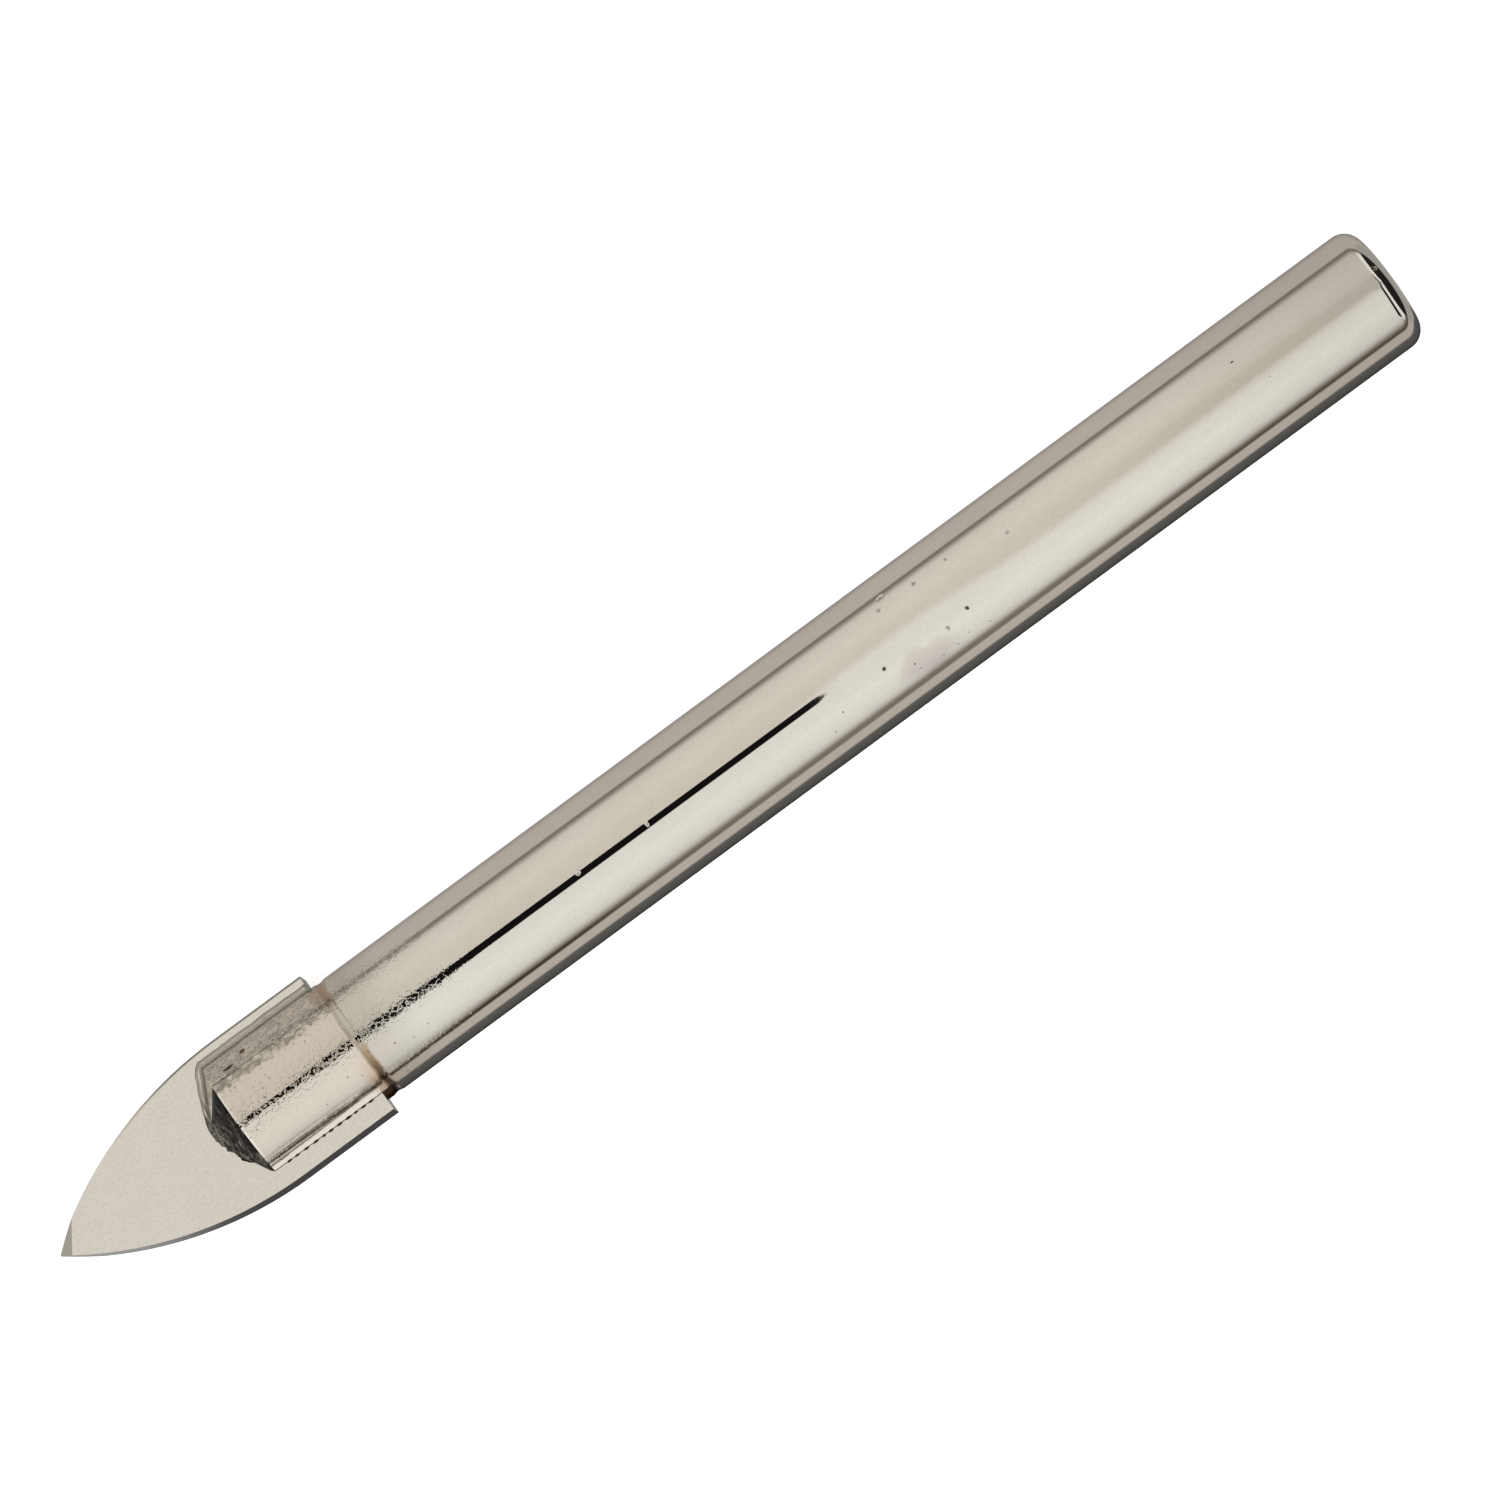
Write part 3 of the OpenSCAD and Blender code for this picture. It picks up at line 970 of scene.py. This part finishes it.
def lens_opening(g, along, left, up):
    """1 in the opening for the lens, a slit along the bit that is pointed at one end."""
    wide = g.math("MULTIPLY_ADD", g.step(along, -0.047, -0.058), SLIT_JOINT, SLIT_WIDE)
    wide = g.math("MULTIPLY_ADD", g.step(along, -0.078, -0.094), SLIT_NOSE, wide)
    half_slit = g.math("MULTIPLY_ADD", g.math("MAXIMUM", along, -0.06), SLIT_TAPER, wide)
    slit = g.math("POWER", g.math("DIVIDE", left, half_slit), 2.0)
    left_over = g.math("DIVIDE", g.math("SUBTRACT", SLIT_STOP, along), SLIT_TIP)
    room = g.math("MINIMUM", left_over, 1.0)
    return g.times(g.step(g.math("SUBTRACT", slit, room), 0.12, -0.12), g.step(up, 0.5, 0.6))


def make_world():
    """Light tent over a table, drawn by direction: bright walls, dark rim, warm table and dark lens."""
    world = bpy.data.worlds.new("studio")
    bpy.context.scene.world = world
    world.use_nodes = True
    g = Graph(world.node_tree)
    ray = g.add("ShaderNodeTexCoord").outputs["Generated"]
    along = g.split(ray)[0]
    left = g.vector("DOT_PRODUCT", ray, tuple(LEFT_DIR))
    up = g.vector("DOT_PRODUCT", ray, tuple(VIEW_DIR))
    tent = tent_walls(g, along, left, up)
    for change in (shade_rim, fade_ends, light_back_end):
        tent = change(g, tent, along, left, up)
    tent = g.mix(lens_opening(g, along, left, up), tent, LENS_BLACK)
    seen = g.add("ShaderNodeLightPath").outputs["Is Camera Ray"]
    back = g.add("ShaderNodeBackground", [g.mix(seen, tent, grey(1.0))])
    g.add("ShaderNodeOutputWorld", [back.outputs[0]])


# Floor, in metres: half side, and half length and half width of the part that takes the bit's shadow
FLOOR_HALF = 2.0
SHADE_REACH = (0.06, 0.02)
# Tone of that part, its own glow and the glow of the floor farther off
FLOOR_TONE = 0.8
FLOOR_GLOW = 0.75
FAR_GLOW = 1.2


def make_floor():
    """White floor that glows, and takes the shadow of the bit close to it."""
    made = bmesh.new()
    bmesh.ops.create_grid(made, x_segments=1, y_segments=1, size=FLOOR_HALF)
    floor = mesh_object("floor", made)
    material, g = new_material("floor_white")
    plain = g.add("ShaderNodeBsdfDiffuse", [grey(FLOOR_TONE)])
    glow = g.add("ShaderNodeEmission", [grey(1.0), FLOOR_GLOW])
    both = g.add("ShaderNodeAddShader", [plain.outputs[0], glow.outputs[0]])
    bright = g.add("ShaderNodeEmission", [grey(1.0), FAR_GLOW])
    where = g.add("ShaderNodeTexCoord").outputs["Object"]
    away = g.vector("LENGTH", g.vector("DIVIDE", where, (*SHADE_REACH, 1.0)))
    near = g.step(away, 1.0, 0.8)
    mixed = g.add("ShaderNodeMixShader", [near, bright.outputs[0], both.outputs[0]])
    g.add("ShaderNodeOutputMaterial", [mixed.outputs[0]])
    floor.data.materials.append(material)
    floor.visible_glossy = False


# Circle on the rounded back edge from which rays go to the cards, in millimetres from its end and side
CIRCLE_IN = 0.4
CIRCLE_DOWN = 0.2
# Black cards of the studio set: distance in millimetres, and limits of the rays to their edges
CARD_TONE = 0.02
CARD_STEPS = 24
END_CARD_REACH = 15.0
END_CARD_LEFT = (0.74, -0.74)
END_CARD_RING = 0.745
END_CARD_LOW = 0.05
EDGE_CARD_REACH = 8.0
EDGE_CARD_LEFT = (0.42, -0.86)
EDGE_CARD_RINGS = (0.35, 0.55)
EDGE_CARD_LEAN = 0.45


def spread(limits):
    """Evenly spaced values from the first limit to the second."""
    start, end = limits
    return [start + (end - start) * i / CARD_STEPS for i in range(CARD_STEPS + 1)]


def ring_ray(ring, left):
    """Ray on a ring about the axis, as its parts along the bit, to the left and up."""
    along = ring - RING_SPREAD * abs(left)
    return along, left, math.sqrt(1 - along ** 2 - left ** 2)


def low_ray(left):
    """Ray to the lower edge of the card across the axis."""
    up = LOW_SLOPE * max(left, 0) - END_CARD_LOW
    return math.sqrt(1 - up ** 2 - left ** 2), left, up


def make_card(name, rays, reach, level):
    """Black card through rays from the back edge, across the axis or level above the bit."""
    end = Vector(((OVERALL_LEN / 2 - CIRCLE_IN) * MM, 0, SHANK_R * MM))
    radius = (SHANK_R - CIRCLE_DOWN) * MM
    made = bmesh.new()
    corners = []
    for along, left, up in rays:
        lean = math.atan2(left, 1 + up)
        start = end + (LEFT_DIR * math.sin(lean) + VIEW_DIR * math.cos(lean)) * radius
        ray = Vector((along, 0, 0)) + LEFT_DIR * left + VIEW_DIR * up
        drop = radius * (1 - math.cos(lean))
        run = (reach * MM + drop) / up if level else reach * MM / along
        corners.append(made.verts.new(start + ray * run))
    made.faces.new(corners)
    card = mesh_object(name, made)
    material, g = new_material(name)
    plain = g.add("ShaderNodeBsdfDiffuse", [grey(CARD_TONE)])
    g.add("ShaderNodeOutputMaterial", [plain.outputs[0]])
    card.data.materials.append(material)
    card.visible_camera = False
    card.visible_diffuse = False
    card.visible_shadow = False


def make_cards():
    """Two black cards by the back end, which its rounded edge reflects as dark lines."""
    lefts = spread(END_CARD_LEFT)
    rays = [ring_ray(END_CARD_RING, left) for left in lefts] + [low_ray(left) for left in lefts[::-1]]
    make_card("end_card", rays, END_CARD_REACH, False)
    lefts = spread(EDGE_CARD_LEFT)
    inner, outer = EDGE_CARD_RINGS
    rays = [ring_ray(inner + EDGE_CARD_LEAN * max(left, 0), left) for left in lefts]
    rays += [ring_ray(outer, left) for left in lefts[::-1]]
    make_card("edge_card", rays, EDGE_CARD_REACH, True)


def make_camera():
    """Camera at the photograph's angle, with the middle of the bit on its pixel."""
    along = Vector((1, 0, 0))
    right = along * math.cos(VIEW_TURN) - LEFT_DIR * math.sin(VIEW_TURN)
    upward = along * math.sin(VIEW_TURN) + LEFT_DIR * math.cos(VIEW_TURN)
    half = IMAGE_SIZE / 2
    offset = right * (half - MID_PIXEL[0]) + upward * (MID_PIXEL[1] - half)
    target = Vector((0, 0, SHANK_R * MM)) + offset / PIXELS_PER_MM * MM
    data = bpy.data.cameras.new("camera")
    data.sensor_width = SENSOR
    data.lens = SENSOR * VIEW_DISTANCE * PIXELS_PER_MM / IMAGE_SIZE
    data.clip_start = 0.01
    camera = link(bpy.data.objects.new("camera", data))
    turn = Matrix((right, upward, VIEW_DIR)).transposed().to_4x4()
    camera.matrix_world = Matrix.Translation(target + VIEW_DIR * VIEW_DISTANCE * MM) @ turn
    bpy.context.scene.camera = camera


make_camera()
make_world()
make_floor()
make_cards()
make_shank(nickel_plate())
make_plate(ground_carbide())
make_joint_detail()
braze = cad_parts["braze"]
braze.data.materials.clear()
braze.data.materials.append(braze_metal())
bpy.context.scene.view_settings.view_transform = "Standard"
